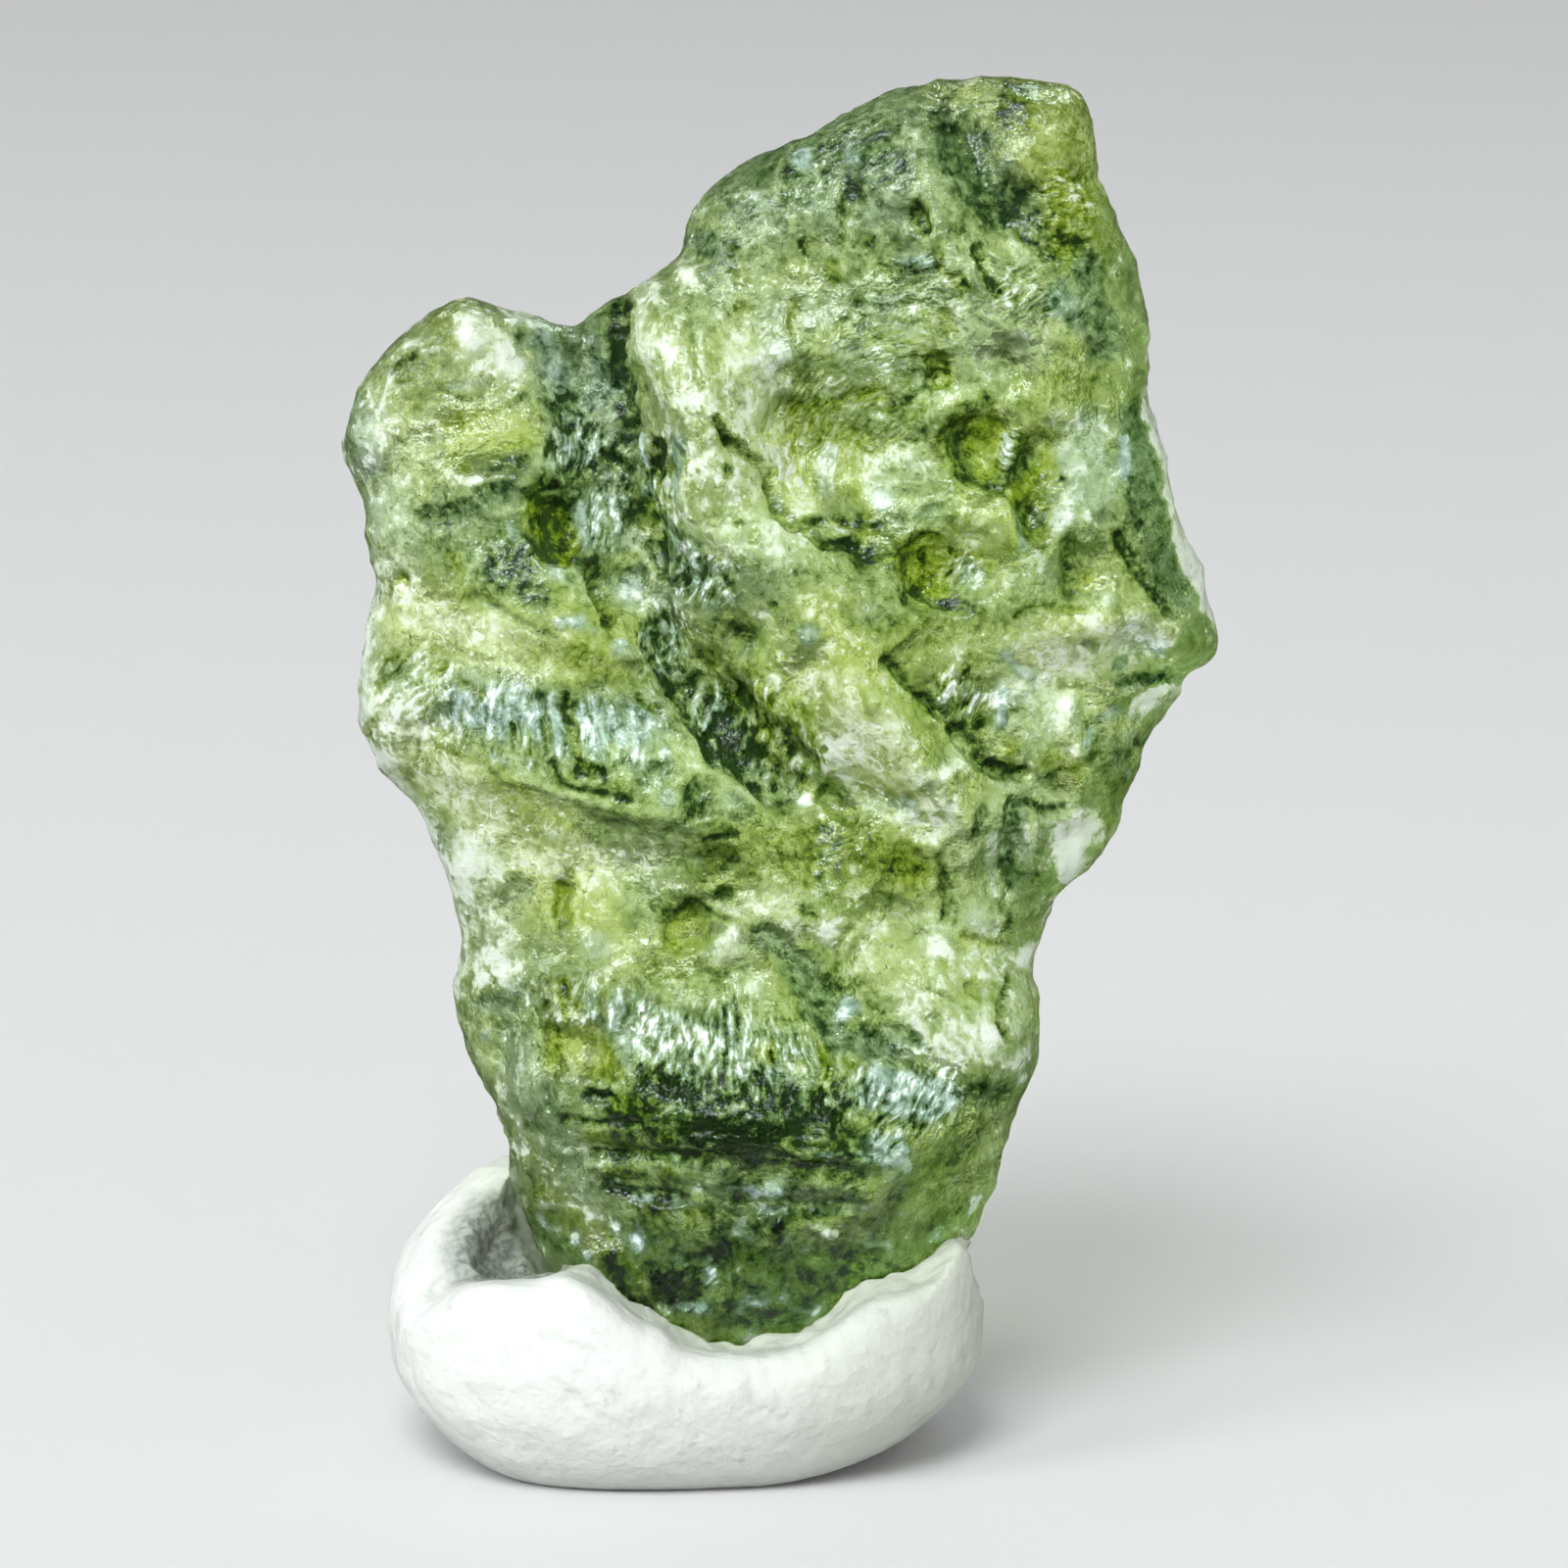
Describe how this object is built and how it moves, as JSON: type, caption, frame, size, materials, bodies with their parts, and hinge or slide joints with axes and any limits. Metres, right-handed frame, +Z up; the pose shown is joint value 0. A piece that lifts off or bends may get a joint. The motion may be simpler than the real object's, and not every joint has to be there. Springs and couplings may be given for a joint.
{
  "type": "moldavite specimen",
  "caption": "Etched green tektite glass with lobes, ledges and pits on both faces, held upright by its narrow tip in a pressed pad of white putty.",
  "frame": {"origin": "middle of the footprint, on the surface that the putty pad stands on", "axes": "+X to the right of the stone's best face, +Y to its back, +Z up the stone"},
  "size_m": [0.0176, 0.0094, 0.0281],
  "materials": {
    "moldavite_glass": "etched, satin, bottle green to yellow-green",
    "white_putty": "matt, smoothed with the fingers"
  },
  "bodies": {
    "root": {"moldavite": "moldavite_glass", "putty_pad": "white_putty"}
  },
  "joints": []
}
